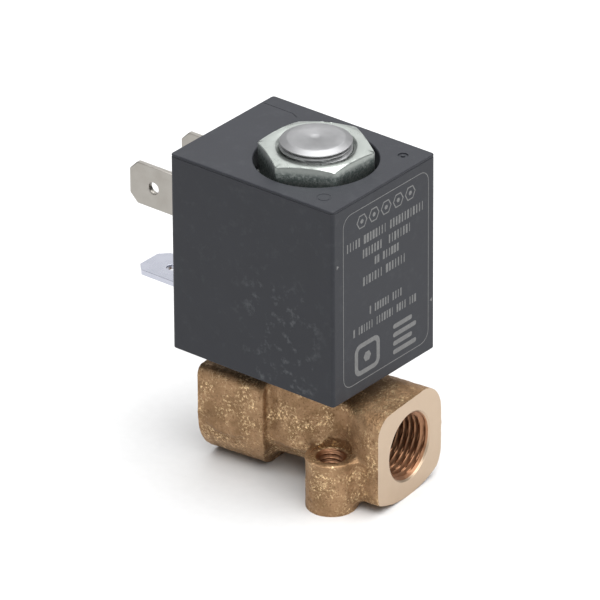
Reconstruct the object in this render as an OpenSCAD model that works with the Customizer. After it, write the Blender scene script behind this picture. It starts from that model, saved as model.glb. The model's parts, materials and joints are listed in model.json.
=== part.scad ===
// Direct-acting two-way solenoid valve with a forged body and a plug-on coil.
// Millimetres. +Z runs up the guide tube, +X along the flow axis towards port A.
// The origin is where the tube axis meets the mounting plane under the body.

/* [Coil] */
// Width of the moulded coil, across the flow axis
coil_w = 22; // [20:0.5:30]
// Height of the moulded coil
coil_h = 29.6; // [26:0.2:40]
// Gap between the mounting plane and the underside of the coil
coil_z = 17.5; // [17:0.1:22]
// Turn of the coil on the tube at rest, in degrees, seen from above
coil_turn = -5; // [-180:1:180]
// Thinnest plastic beside the bobbin flanges
coil_wall = 1.7; // [1.2:0.1:3]
// Plastic between the bobbin flanges and the label face
label_wall = 2.3; // [1.5:0.1:4]
// Depth of plastic behind the yoke that holds the terminals
terminal_room = 4.5; // [4.2:0.1:8]
// Radius of the coil's upright edges
coil_edge = 0.5; // [0.3:0.1:2]

/* [Magnet circuit] */
// Outside diameter of the guide tube
tube_d = 10; // [8:0.5:12]
// Wall of the guide tube
tube_wall = 0.5; // [0.4:0.05:1]
// Thickness of the yoke strip
yoke_t = 2; // [1.2:0.1:2.6]
// Width of the yoke strip
yoke_w = 15; // [14:0.5:16]
// Depth of plastic under the yoke, which is also the depth of the seal pocket
yoke_cover = 1.6; // [1.4:0.1:3]
// Wall of the bobbin hub
hub_wall = 0.7; // [0.5:0.1:1.2]
// Thickness of the bobbin flanges
flange_t = 1; // [0.6:0.1:1.6]
// Wall of the flux bush in the bobbin
bush_wall = 0.95; // [0.6:0.05:1.5]
// Height of the flux bush
bush_h = 5.4; // [3:0.2:9]

/* [Plunger] */
// Lift of the plunger from the seat to the core
stroke = 1.2; // [0.6:0.1:2]
// Length of the plunger
plunger_l = 19.7; // [17:0.1:22]
// Length of the fixed core inside the tube
core_l = 7.5; // [5:0.1:10]
// Diameter of the return spring
spring_d = 4.9; // [3.5:0.1:5.2]
// Wire diameter of the return spring
spring_wire = 0.5; // [0.3:0.05:0.7]
// Depth of the spring bore in the plunger
spring_pocket = 7; // [5:0.1:9]

/* [Nut] */
// Size of the coil nut across its flats
nut_flats = 14; // [13:0.5:17]
// Height of the coil nut
nut_h = 4.8; // [3:0.1:6]
// How far the nut stands above the coil
nut_rise = 2; // [0.5:0.1:3]
// Turn of the nut at rest, in degrees, from a corner on the flow axis
nut_turn = 21.6; // [0:0.1:60]
// Thickness of the washer under the nut
washer_t = 0.8; // [0.5:0.1:1.5]
// How far the threaded end of the core stands above the nut
stud_rise = 1.2; // [0.8:0.1:3]

/* [Terminals] */
// Width of the three tab terminals
blade_w = 6.3; // [4.8:0.1:6.3]
// Thickness of the three tab terminals
blade_t = 0.8; // [0.5:0.1:1]
// Spacing of the two supply terminals
blade_pitch = 11; // [9.4:0.1:11.4]
// Length of the supply terminals outside the coil
blade_l = 11.5; // [9:0.1:14]
// Length of the earth terminal outside the coil
earth_l = 13.3; // [9:0.1:15]
// Depth of the supply terminals' middle below the top of the coil
blade_drop = 9.75; // [9:0.05:12]
// Depth of the earth terminal's middle below the top of the coil
earth_drop = 25.3; // [24:0.1:25.4]

/* [Body] */
// Distance from the tube axis to the face of port A
reach_a = 15; // [14:0.1:20]
// Distance from the tube axis to the face of port B
reach_b = 14.4; // [14:0.1:20]
// Width of the port blocks
block_w = 15.6; // [15:0.1:20]
// Height of the port blocks
block_h = 14.6; // [14.4:0.1:16]
// Height of the port axis above the mounting plane
port_z = 7.5; // [7.4:0.1:8]
// Edge radius of the port blocks
block_edge = 3; // [1:0.1:4]
// Distance from the tube axis to the near side of port A's block
waist_a = 4.7; // [3.8:0.1:5]
// Distance from the tube axis to the near side of port B's block
waist_b = 3.7; // [3.4:0.1:5]
// Diameter of the round waist between the port blocks
waist_d = 11.6; // [10:0.1:13]
// Diameter of the upright valve chamber
chamber_d = 14.4; // [14:0.1:18]

/* [Ports] */
// Core diameter of the G1/8 port threads
port_core_d = 8.566; // [7:0.001:9]
// Diameter of the countersink at the mouth of each port
port_mouth_d = 10.2; // [9.7:0.1:11]
// Depth of each port below its face
port_depth = 9; // [7:0.1:9.2]
// Diameter of the seat orifice
orifice_d = 2.5; // [1.2:0.1:2.8]

/* [Mounting] */
// Distance of each mounting hole from the tube axis, along the flow
hole_x = 7.6; // [7:0.1:9]
// Distance of each mounting hole from the tube axis, across the flow
hole_y = 8; // [7.8:0.1:10]
// Core diameter of the M4 mounting threads
hole_core_d = 3.242; // [2.4:0.001:3.4]
// Diameter of the round bosses around the mounting holes
boss_d = 7.1; // [6.5:0.1:8]
// Height of the bosses
boss_h = 7.7; // [6:0.1:9]

/* [Hidden] */
$fn = 64;

// Clearances and overshoot
tube_fit = 0.08;        // radial, coil and washer on the tube
plunger_fit = 0.08;     // radial, plunger in the tube
thrust_gap = 0.1;       // axial, between the coil and the parts that clamp it
seat_gap = 0.02;        // seal above the seat when closed
core_gap = 0.1;         // plunger under the core when open
spring_gap = 0.05;      // spring to the faces it bears on
pocket_fit = 0.7;       // radial, coil gasket in the seal pocket
past = 1;               // how far a cut runs past the face it opens

// Tube, core and stud
tube_r = tube_d / 2;
tube_bore_r = tube_r - tube_wall;
coil_bore_r = tube_r + tube_fit;

// Valve chamber in the body, from the seat up
seat_r = 2;
seat_rise = 1.2;
chamber_floor = port_z + 2.7;
chamber_low = port_z - 1.7;
chamber_r = tube_r - 0.1;
seat_z = chamber_floor + seat_rise;
tube_z = seat_z + 1.2;
ring_wire = 1;
ring_r = tube_r + ring_wire / 2;
base_thread_r = tube_r + ring_wire;
base_z = tube_z + ring_wire;
base_top = coil_z - thrust_gap;
base_hex_h = 1.8;
chamber_top = base_top - base_hex_h;
base_flats = 2 * base_thread_r + 1;

// Passages in the body
inlet_r = 1.1;
inlet_x = seat_r + inlet_r + 0.3;
mouth_depth = 0.8;
hole_mouth_d = 4.4;
hole_mouth_depth = 0.5;
wall_in = 5.4;          // from the port axis to the thinned wall of the block beside a boss
flare_start = 0.8;      // from the hole's axis to where that wall starts to widen again
flare_end = 4.4;        // from the hole's axis to where it has the block's full width

// Plunger, spring and core heights
seal_r = 2.6;
seal_out = 0.6;
seal_in = 1.8;
plunger_z = seat_z + seat_gap + seal_out;
plunger_top = plunger_z + plunger_l;
core_z = plunger_top + stroke + core_gap;
tube_top = core_z + core_l;
ring_in = 3.2;
ring_out = 3.9;
ring_h = 1;
slot_w = 1;
spring_turns = 7;
spring_sides = 8;
spring_steps = 20;

// Stack on top of the coil
coil_top = coil_z + coil_h;
nut_top = coil_top + nut_rise;
nut_z = nut_top - nut_h;
washer_z = nut_z - washer_t;
nut_r = nut_flats / sqrt(3);
recess_r = nut_r + 0.42;
washer_r = nut_r + 0.1;
stud_top = nut_top + stud_rise;
stud_edge = 0.95;
stud_edge_h = 0.5;

// Coil, in its own heights above the underside of the coil
flange_r = coil_w / 2 - coil_wall;
label_x = flange_r + label_wall;
yoke_gap = 0.5;
yoke_back = flange_r + yoke_gap + yoke_t;
back_x = yoke_back + terminal_room;
yoke_top = washer_z - thrust_gap - coil_z;
yoke_front = flange_r - 0.3;
bobbin_z = yoke_cover + yoke_t;
bobbin_top = yoke_top - yoke_t;
winding_r = flange_r - 0.3;
bush_r = coil_bore_r + bush_wall;
hub_r = bush_r + hub_wall;
gasket_wire = 1.3;
gasket_r = tube_r + gasket_wire / 2 + 0.2;
seal_pocket_r = gasket_r + gasket_wire / 2 + pocket_fit;

// Terminals
blade_hole_d = 1.65;
blade_hole_back = 4.2;
blade_corner = 1.3;
tag_w = 4;
tag_x = yoke_back + 0.9;
blade_z = coil_h - blade_drop;
earth_z = coil_h - earth_drop;
insert_r = 2.3;
insert_l = 3.9;
insert_core_r = 1.23;
insert_z = (blade_z + earth_z) / 2;

// Lead wires, from the winding to the supply terminals
lead_d = 0.4;
lead_angle = 115;
lead_y = yoke_w / 2 + 0.7;
lead_back = tag_x + 1;
lead_spread = 1;

// ---- helpers ----

// Place something built about the tube axis, at coil height, turned with the coil
module on_coil() {
    translate([0, 0, coil_z])
        rotate([0, 0, coil_turn])
            children();
}

// Push an outline drawn in Y and Z along +X, from x1 to x2
module along_x(x1, x2) {
    translate([x1, 0, 0])
        rotate([90, 0, 90])
            linear_extrude(x2 - x1)
                children();
}

// Upright ring
module ring(outer, inner, low, high) {
    translate([0, 0, low])
        difference() {
            cylinder(r = outer, h = high - low);
            translate([0, 0, -past])
                cylinder(r = inner, h = high - low + 2 * past);
        }
}

// Round ring of round section
module o_ring(middle, wire, height) {
    translate([0, 0, height])
        rotate_extrude()
            translate([middle, 0])
                circle(d = wire);
}

// Rectangle standing on y = 0, centred on x = 0, with rounded corners
module rounded_outline(width, height, corner) {
    translate([-width / 2 + corner, 0])
        square([width - 2 * corner, height]);
    translate([-width / 2, corner])
        square([width, height - 2 * corner]);
    for (side = [-1, 1])
        for (y = [corner, height - corner])
            translate([side * (width / 2 - corner), y])
                circle(r = corner);
}

// Rectangle with rounded top corners on a half-round base
module arched_outline(width, height, corner) {
    translate([0, width / 2])
        circle(d = width);
    translate([-width / 2, width / 2])
        square([width, height - width / 2 - corner]);
    translate([-width / 2 + corner, width / 2])
        square([width - 2 * corner, height - width / 2]);
    for (side = [-1, 1])
        translate([side * (width / 2 - corner), height - corner])
            circle(r = corner);
}

// ---- body ----

// The two mounting holes lie diagonally about the tube axis
module at_mounting_holes() {
    for (turn = [0, 180])
        rotate([0, 0, turn])
            translate([hole_x, -hole_y, 0])
                children();
}

// Thread core, mouth countersink and blind end of one port, opening towards +X
module port_cut(reach) {
    translate([reach - port_depth, 0, port_z])
        rotate([0, 90, 0])
            cylinder(d = port_core_d, h = port_depth + past);
    translate([reach - mouth_depth, 0, port_z])
        rotate([0, 90, 0])
            cylinder(d1 = port_core_d, d2 = port_mouth_d, h = mouth_depth);
}

module body_outside() {
    difference() {
        along_x(waist_a, reach_a)
            rounded_outline(block_w, block_h, block_edge);
        boss_relief(waist_a);
    }
    difference() {
        along_x(-reach_b, -waist_b)
            arched_outline(block_w, block_h, block_edge);
        rotate([0, 0, 180])
            boss_relief(waist_b);
    }
    translate([-waist_b - past, 0, port_z])
        rotate([0, 90, 0])
            cylinder(d = waist_d, h = waist_a + waist_b + 2 * past);
    // turned so that the seam of its round wall keeps clear of the waist
    translate([0, 0, chamber_low])
        rotate([0, 0, 45])
            cylinder(d = chamber_d, h = chamber_top - chamber_low);
    at_mounting_holes()
        cylinder(d = boss_d, h = boss_h);
}

// Chamber around the raised seat, with the ledge and thread of the tube base above
module chamber_cut() {
    rotate_extrude()
        polygon([
            [seat_r, chamber_floor],
            [chamber_r, chamber_floor],
            [chamber_r, tube_z],
            [base_thread_r, tube_z],
            [base_thread_r, chamber_top + past],
            [0, chamber_top + past],
            [0, seat_z],
            [seat_r, seat_z]
        ]);
}

// Port A feeds the chamber beside the seat
module inlet_cut() {
    translate([inlet_x, 0, port_z])
        cylinder(r = inlet_r, h = chamber_floor - port_z + 0.5);
    translate([inlet_x, 0, port_z])
        rotate([0, 90, 0])
            cylinder(r = inlet_r, h = reach_a - port_depth - inlet_x + past);
}

// The seat orifice drains to port B
module outlet_cut() {
    translate([0, 0, port_z])
        cylinder(d = orifice_d, h = seat_z - port_z + past);
    translate([-reach_b + port_depth - past, 0, port_z])
        rotate([0, 90, 0])
            cylinder(d = orifice_d, h = reach_b - port_depth + past);
}

// Space beside a boss: the block's wall is thinned there and widens again towards the port
module boss_relief(near) {
    outside = -block_w / 2 - past;
    translate([0, 0, -past])
        linear_extrude(block_h + 2 * past)
            polygon([
                [near - past, outside],
                [hole_x + flare_end, outside],
                [hole_x + flare_end, -block_w / 2],
                [hole_x + flare_start, -wall_in],
                [near - past, -wall_in]
            ]);
}

module valve_body() {
    color("peru")
        difference() {
            body_outside();
            port_cut(reach_a);
            mirror([1, 0, 0])
                port_cut(reach_b);
            chamber_cut();
            inlet_cut();
            outlet_cut();
            at_mounting_holes() {
                translate([0, 0, -past])
                    cylinder(d = hole_core_d, h = boss_h + 2 * past);
                translate([0, 0, boss_h - hole_mouth_depth])
                    cylinder(d1 = hole_core_d, d2 = hole_mouth_d, h = hole_mouth_depth);
                cylinder(d1 = hole_mouth_d, d2 = hole_core_d, h = hole_mouth_depth);
            }
        }
}

module body_o_ring() {
    color("dimgray")
        o_ring(ring_r, ring_wire - 0.02, tube_z + ring_wire / 2);
}

// Threaded ferrule that holds the tube in the body, tightened by its hexagon
module tube_base() {
    color("goldenrod")
        difference() {
            union() {
                translate([0, 0, base_z])
                    cylinder(r = base_thread_r, h = chamber_top - base_z);
                translate([0, 0, chamber_top])
                    cylinder(d = base_flats * 2 / sqrt(3), h = base_hex_h, $fn = 6);
            }
            translate([0, 0, base_z - past])
                cylinder(r = tube_r, h = base_top - base_z + 2 * past);
        }
}

// ---- tube and plunger ----

module guide_tube() {
    color("silver")
        ring(tube_r, tube_bore_r, tube_z, tube_top);
}

// Fixed core: a plug welded into the tube, carried on as the threaded stud
module fixed_core() {
    color("lightsteelblue")
        difference() {
            rotate_extrude()
                polygon([
                    [0, core_z],
                    [tube_bore_r, core_z],
                    [tube_bore_r, tube_top],
                    [tube_r, tube_top],
                    [tube_r, stud_top - stud_edge_h],
                    [tube_r - stud_edge, stud_top],
                    [0, stud_top]
                ]);
            ring(ring_out, ring_in, core_z - past, core_z + ring_h);
            translate([0, 0, stud_top - stud_edge_h])
                cylinder(r1 = 0.2, r2 = 0.9, h = stud_edge_h);
        }
}

module shading_ring() {
    color("chocolate")
        ring(ring_out, ring_in, core_z, core_z + ring_h);
}

// Plunger with a spring bore in the top, a seal pocket below and two flow slots
module plunger() {
    color("gainsboro")
        difference() {
            translate([0, 0, plunger_z])
                cylinder(r = tube_bore_r - plunger_fit, h = plunger_l);
            translate([0, 0, plunger_top - spring_pocket])
                cylinder(d = spring_d + 0.4, h = spring_pocket + past);
            translate([0, 0, plunger_z - past])
                cylinder(r = seal_r, h = seal_in + past);
            for (side = [-1, 1])
                translate([side * tube_bore_r - slot_w / 2, -slot_w / 2, plunger_z - past])
                    cube([slot_w, slot_w, plunger_l + 2 * past]);
        }
}

module plunger_seal() {
    color("darkslategray")
        translate([0, 0, plunger_z - seal_out])
            cylinder(r = seal_r, h = seal_in + seal_out);
}

// Points of the spring wire's section at one step along the helix
function spring_ring(step, low, rise) =
    let (
        turn = 360 * step / spring_steps,
        middle = (spring_d - spring_wire) / 2,
        height = low + rise * step / (spring_turns * spring_steps)
    )
    [
        for (k = [0 : spring_sides - 1])
            let (
                a = 360 * k / spring_sides,
                r = middle + spring_wire / 2 * cos(a)
            )
            [r * cos(turn), r * sin(turn), height + spring_wire / 2 * sin(a)]
    ];

module return_spring() {
    low = plunger_top - spring_pocket + spring_wire / 2 + spring_gap;
    high = core_z - spring_wire / 2 - spring_gap;
    last = spring_turns * spring_steps;
    points = [for (step = [0 : last]) each spring_ring(step, low, high - low)];
    sides = [
        for (step = [0 : last - 1])
            for (k = [0 : spring_sides - 1])
                let (
                    a = step * spring_sides + k,
                    b = step * spring_sides + (k + 1) % spring_sides
                )
                each [
                    [a, b, b + spring_sides],
                    [a, b + spring_sides, a + spring_sides]
                ]
    ];
    start = [[for (k = [0 : spring_sides - 1]) spring_sides - 1 - k]];
    end = [[for (k = [0 : spring_sides - 1]) last * spring_sides + k]];
    color("lightgray")
        polyhedron(points = points, faces = concat(sides, start, end), convexity = 20);
}

// ---- coil, all drawn about the tube axis from the underside of the coil ----

// C-shaped steel strip around the winding, open towards the label face
module yoke_shape() {
    difference() {
        translate([0, yoke_w / 2, 0])
            rotate([90, 0, 0])
                linear_extrude(yoke_w)
                    polygon([
                        [-yoke_back, yoke_cover],
                        [yoke_front, yoke_cover],
                        [yoke_front, bobbin_z],
                        [-yoke_back + yoke_t, bobbin_z],
                        [-yoke_back + yoke_t, bobbin_top],
                        [yoke_front, bobbin_top],
                        [yoke_front, yoke_top],
                        [-yoke_back, yoke_top]
                    ]);
        cylinder(r = coil_bore_r, h = coil_h);
    }
}

module bobbin_shape() {
    rotate_extrude()
        polygon([
            [bush_r, bobbin_z],
            [flange_r, bobbin_z],
            [flange_r, bobbin_z + flange_t],
            [hub_r, bobbin_z + flange_t],
            [hub_r, bobbin_top - flange_t],
            [flange_r, bobbin_top - flange_t],
            [flange_r, bobbin_top],
            [coil_bore_r, bobbin_top],
            [coil_bore_r, bobbin_z + bush_h],
            [bush_r, bobbin_z + bush_h]
        ]);
}

module winding_shape() {
    ring(winding_r, hub_r, bobbin_z + flange_t, bobbin_top - flange_t);
}

module flux_bush_shape() {
    ring(bush_r, coil_bore_r, bobbin_z, bobbin_z + bush_h);
}

// Outline of a tab terminal along x: a chamfered blade with a hole, and a narrow tag inside
module blade_outline(length, inside) {
    half = blade_w / 2;
    difference() {
        polygon([
            [-back_x - length, -half + blade_corner],
            [-back_x - length + blade_corner, -half],
            [-back_x + 1, -half],
            [-back_x + 1, -tag_w / 2],
            [-inside, -tag_w / 2],
            [-inside, tag_w / 2],
            [-back_x + 1, tag_w / 2],
            [-back_x + 1, half],
            [-back_x - length + blade_corner, half],
            [-back_x - length, half - blade_corner]
        ]);
        translate([-back_x - length + blade_hole_back, 0])
            circle(d = blade_hole_d);
    }
}

// Upright supply terminal on one side of the coil, -1 or 1
module supply_terminal_shape(side) {
    translate([0, side * blade_pitch / 2 + blade_t / 2, blade_z])
        rotate([90, 0, 0])
            linear_extrude(blade_t)
                blade_outline(blade_l, tag_x);
}

// Flat earth terminal, whose tag meets the back of the yoke
module earth_terminal_shape() {
    translate([0, 0, earth_z - blade_t / 2])
        linear_extrude(blade_t)
            blade_outline(earth_l, yoke_back);
}

// Thin wire between two points at one height, run on at its start to fill the bend there
module wire_run(from, to) {
    step = to - from;
    translate(from)
        rotate([0, 90, atan2(step[1], step[0])])
            translate([0, 0, -lead_d / 2])
                cylinder(d = lead_d, h = norm(step) + lead_d / 2, $fn = 8);
}

// Lead from the winding, past the edge of the yoke, to the outer face of a terminal
module lead_shape(side, height) {
    first = [(winding_r - 1) * cos(lead_angle), side * (winding_r - 1) * sin(lead_angle), height];
    bend = [winding_r * cos(lead_angle) - 1.2, side * lead_y, height];
    corner = [-lead_back, side * lead_y, height];
    last = [-lead_back, side * (blade_pitch + blade_t) / 2, height];
    difference() {
        union() {
            wire_run(first, bend);
            wire_run(bend, corner);
            wire_run(corner, last);
        }
        cylinder(r = winding_r, h = coil_h);
    }
}

// Threaded insert for the screw of the plug connector
module insert_shape() {
    translate([-back_x, 0, insert_z])
        rotate([0, 90, 0])
            cylinder(r = insert_r, h = insert_l);
}

module insert_cut() {
    translate([-back_x - past, 0, insert_z])
        rotate([0, 90, 0])
            cylinder(r = insert_core_r, h = insert_l + past);
}

// Everything that the plastic is moulded around
module moulded_in() {
    yoke_shape();
    bobbin_shape();
    winding_shape();
    flux_bush_shape();
    supply_terminal_shape(-1);
    supply_terminal_shape(1);
    earth_terminal_shape();
    lead_shape(-1, blade_z - lead_spread);
    lead_shape(1, blade_z + lead_spread);
    insert_shape();
}

module coil_block() {
    for (x = [-back_x + coil_edge, label_x - coil_edge])
        for (side = [-1, 1])
            translate([x, side * (coil_w / 2 - coil_edge), 0])
                cylinder(r = coil_edge, h = coil_h);
    translate([-back_x + coil_edge, -coil_w / 2, 0])
        cube([back_x + label_x - 2 * coil_edge, coil_w, coil_h]);
    translate([-back_x, -coil_w / 2 + coil_edge, 0])
        cube([back_x + label_x, coil_w - 2 * coil_edge, coil_h]);
}

module coil_housing() {
    color("#33343a")
        on_coil()
            difference() {
                coil_block();
                moulded_in();
                translate([0, 0, -past])
                    cylinder(r = coil_bore_r, h = coil_h + 2 * past);
                translate([0, 0, -past])
                    cylinder(r = seal_pocket_r, h = yoke_cover + past);
                translate([0, 0, yoke_top])
                    cylinder(r = recess_r, h = coil_h - yoke_top + past);
            }
}

module bobbin() {
    color("ivory")
        on_coil()
            bobbin_shape();
}

module winding() {
    color("sienna")
        on_coil()
            winding_shape();
}

module yoke_bracket() {
    color("slategray")
        on_coil()
            yoke_shape();
}

module flux_bush() {
    color("gray")
        on_coil()
            flux_bush_shape();
}

module terminal_left() {
    color("lightgray")
        on_coil()
            supply_terminal_shape(-1);
}

module terminal_right() {
    color("lightgray")
        on_coil()
            supply_terminal_shape(1);
}

module earth_terminal() {
    color("lightblue")
        on_coil()
            earth_terminal_shape();
}

module lead_wire_start() {
    color("orangered")
        on_coil()
            lead_shape(-1, blade_z - lead_spread);
}

module lead_wire_finish() {
    color("orangered")
        on_coil()
            lead_shape(1, blade_z + lead_spread);
}

module screw_insert() {
    color("gold")
        on_coil()
            difference() {
                insert_shape();
                insert_cut();
            }
}

// ---- clamping of the coil ----

// Seal ring around the tube, between the tube base and the yoke
module coil_gasket() {
    color("black")
        o_ring(gasket_r, gasket_wire, base_top + gasket_wire / 2);
}

module lock_washer() {
    color("lightgray")
        ring(washer_r, coil_bore_r, washer_z, nut_z);
}

// Hexagon nut, chamfered at 30 degrees on both faces and countersunk at the thread
module coil_nut() {
    bevel = (nut_r - nut_flats / 2 + 0.25) * tan(30);
    mouth = 0.45;
    color("lightgray")
        difference() {
            intersection() {
                translate([0, 0, nut_z])
                    rotate([0, 0, nut_turn])
                        cylinder(r = nut_r, h = nut_h, $fn = 6);
                rotate_extrude()
                    polygon([
                        [0, nut_z],
                        [nut_flats / 2 - 0.25, nut_z],
                        [nut_r, nut_z + bevel],
                        [nut_r, nut_top - bevel],
                        [nut_flats / 2 - 0.25, nut_top],
                        [0, nut_top]
                    ]);
            }
            translate([0, 0, nut_z - past])
                cylinder(r = tube_r, h = nut_h + 2 * past);
            translate([0, 0, nut_top - mouth])
                cylinder(r1 = tube_r, r2 = tube_r + mouth, h = mouth);
        }
}

valve_body();
body_o_ring();
tube_base();
guide_tube();
fixed_core();
shading_ring();
plunger();
plunger_seal();
return_spring();
coil_housing();
bobbin();
winding();
yoke_bracket();
flux_bush();
terminal_left();
terminal_right();
earth_terminal();
lead_wire_start();
lead_wire_finish();
screw_insert();
coil_gasket();
lock_washer();
coil_nut();
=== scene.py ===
# Small direct-acting solenoid valve, put together as on the bench: the forged body, the tube with
# its plunger, the plug-on coil, and the nut that clamps it. Lengths in the sections are in
# millimetres; every mesh ends up in metres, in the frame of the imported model.
import json
import math

import bmesh
import bpy
import numpy as np
from mathutils import Matrix, Vector, noise


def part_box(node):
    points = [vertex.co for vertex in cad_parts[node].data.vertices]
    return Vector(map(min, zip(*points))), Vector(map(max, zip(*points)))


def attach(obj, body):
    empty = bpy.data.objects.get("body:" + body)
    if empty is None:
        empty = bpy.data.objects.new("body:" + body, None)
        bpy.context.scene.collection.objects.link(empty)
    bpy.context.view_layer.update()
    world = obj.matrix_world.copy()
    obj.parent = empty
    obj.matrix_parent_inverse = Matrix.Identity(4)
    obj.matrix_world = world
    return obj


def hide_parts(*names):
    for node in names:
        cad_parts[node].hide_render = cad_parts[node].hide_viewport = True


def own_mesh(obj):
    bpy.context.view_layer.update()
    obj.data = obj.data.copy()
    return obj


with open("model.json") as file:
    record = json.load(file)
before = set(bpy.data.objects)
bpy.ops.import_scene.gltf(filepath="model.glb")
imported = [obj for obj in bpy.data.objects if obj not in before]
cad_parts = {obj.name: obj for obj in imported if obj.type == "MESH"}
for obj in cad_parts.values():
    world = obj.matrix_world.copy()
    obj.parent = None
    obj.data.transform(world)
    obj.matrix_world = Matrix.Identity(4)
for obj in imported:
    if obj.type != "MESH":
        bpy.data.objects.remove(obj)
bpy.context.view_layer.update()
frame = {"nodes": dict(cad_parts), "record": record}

MM = 0.001

# ---- Bench paper, lamps and camera ----
# A sheet of pale paper under the valve, a large soft box above and another behind, and a long
# lens that looks down on the corner between the coil's label face and its left side.

class Value:
    """A number or vector that varies over a surface. Arithmetic on it adds Math nodes."""

    def __init__(self, finish, socket):
        self.finish = finish
        self.socket = socket

    def math(self, operation, *others):
        return self.finish.math(operation, self, *others)

    def __add__(self, other):
        return self.math("ADD", other)

    def __sub__(self, other):
        return self.math("SUBTRACT", other)

    def __rsub__(self, other):
        return self.finish.math("SUBTRACT", other, self)

    def __mul__(self, other):
        return self.math("MULTIPLY", other)

    def __truediv__(self, other):
        return self.math("DIVIDE", other)

    __radd__ = __add__
    __rmul__ = __mul__

    def clipped(self, low, high):
        """0 below low, 1 above high, and a smooth step between; low may be the larger."""
        return self.finish.node(
            "ShaderNodeMapRange", {"interpolation_type": "SMOOTHSTEP"},
            {"Value": self, "From Min": low, "From Max": high})


class Finish:
    """One material: a Principled shader and the nodes that vary it over the piece."""

    def __init__(self, name, color, roughness, metallic=0.0, **fixed):
        self.material = bpy.data.materials.new(name)
        self.material.use_nodes = True
        self.material.diffuse_color = (*color, 1)
        self.tree = self.material.node_tree
        self.shader = self.tree.nodes["Principled BSDF"]
        self.place = self.node("ShaderNodeTexCoord", output="Object")
        self.shade({"Base Color": color, "Roughness": roughness, "Metallic": metallic, **fixed})

    def plug(self, socket, value):
        if isinstance(value, Value):
            self.tree.links.new(value.socket, socket)
        elif isinstance(value, tuple) and socket.type == "RGBA":
            socket.default_value = (*value, 1)
        else:
            socket.default_value = value

    def node(self, kind, settings=None, sockets=None, output=0):
        """Add a node of this kind; its settings go on first, then its sockets."""
        node = self.tree.nodes.new(kind)
        for name, value in (settings or {}).items():
            setattr(node, name, value)
        for key, value in (sockets or {}).items():
            self.plug(node.inputs[key], value)
        return Value(self, node.outputs[output])

    def math(self, operation, *values):
        return self.node("ShaderNodeMath", {"operation": operation}, dict(enumerate(values)))

    def grain(self, size, detail=2.0, at=None, roughness=0.5):
        """Soft random pattern from 0 to 1, with features about this many millimetres across."""
        sockets = {"Vector": at or self.place, "Scale": 1 / (size * MM),
                   "Detail": detail, "Roughness": roughness}
        return self.node("ShaderNodeTexNoise", {}, sockets)

    def stretched(self, x, y, z, centre=(0, 0, 0), turn=0.0):
        """The place on the piece, centred, turned about Z and scaled along each axis."""
        centred = self.node(
            "ShaderNodeMapping", {"vector_type": "TEXTURE"},
            {"Vector": self.place, "Location": tuple(c * MM for c in centre),
             "Rotation": (0, 0, turn)})
        return self.node(
            "ShaderNodeVectorMath", {"operation": "MULTIPLY"}, {0: centred, 1: (x, y, z)})

    def length(self, vector):
        """Length of a vector in millimetres."""
        metres = self.node("ShaderNodeVectorMath", {"operation": "LENGTH"}, {0: vector}, output="Value")
        return metres / MM

    def blend(self, share, first, second):
        """Colour that goes from the first to the second as share goes from 0 to 1."""
        return self.node(
            "ShaderNodeMix", {"data_type": "RGBA"}, {0: share, 6: first, 7: second}, output=2)

    def relief(self, height, depth):
        """Bumps as high as depth, in millimetres, where height is 1."""
        self.shade({"Normal": self.node(
            "ShaderNodeBump", {}, {"Height": height, "Distance": depth * MM, "Strength": 1.0},
            output="Normal")})

    def shade(self, sockets):
        for name, value in sockets.items():
            self.plug(self.shader.inputs[name], value)


def add_piece(name, points, faces, finish, sharp_angle=32):
    """Mesh object from points in millimetres, smooth apart from edges past the sharp angle."""
    mesh = bpy.data.meshes.new(name)
    mesh.from_pydata((np.asarray(points, float) * MM).tolist(), [], faces)
    mesh.materials.append(finish.material)
    mesh.shade_smooth()
    mesh.set_sharp_from_angle(angle=math.radians(sharp_angle))
    piece = bpy.data.objects.new(name, mesh)
    bpy.context.scene.collection.objects.link(piece)
    return piece


paper = Finish("bench_paper", (0.6, 0.6, 0.6), 0.8)
fibre = paper.grain(1.5, 3)
paper.shade({"Base Color": paper.blend(fibre, (0.58, 0.58, 0.58), (0.62, 0.62, 0.62))})
paper_side = 1500
sheet_corners = [(x * paper_side, y * paper_side, 0) for x, y in ((-1, -1), (1, -1), (1, 1), (-1, 1))]
bench = add_piece("bench", sheet_corners, [(0, 1, 2, 3)], paper)

scene = bpy.context.scene
scene.view_settings.view_transform = "Standard"
world = bpy.data.worlds.new("studio")
world.use_nodes = True
world.node_tree.nodes["Background"].inputs["Color"].default_value = (0.97, 0.985, 1, 1)
world.node_tree.nodes["Background"].inputs["Strength"].default_value = 0.32
scene.world = world


def add_lamp(name, azimuth, elevation, distance, side, power):
    """Square soft box that faces the valve from this azimuth and elevation, in degrees."""
    lamp = bpy.data.lights.new(name, "AREA")
    lamp.size = side
    lamp.energy = power
    turn, tilt = math.radians(azimuth), math.radians(elevation)
    towards = Vector((math.sin(turn) * math.cos(tilt), -math.cos(turn) * math.cos(tilt), math.sin(tilt)))
    holder = bpy.data.objects.new(name, lamp)
    holder.location = towards * distance
    holder.rotation_euler = (-towards).to_track_quat("-Z", "Y").to_euler()
    scene.collection.objects.link(holder)


add_lamp("lamp_above", azimuth=80, elevation=76, distance=1.0, side=1.7, power=36)
add_lamp("lamp_behind", azimuth=214, elevation=34, distance=1.5, side=1.3, power=4)

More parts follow.
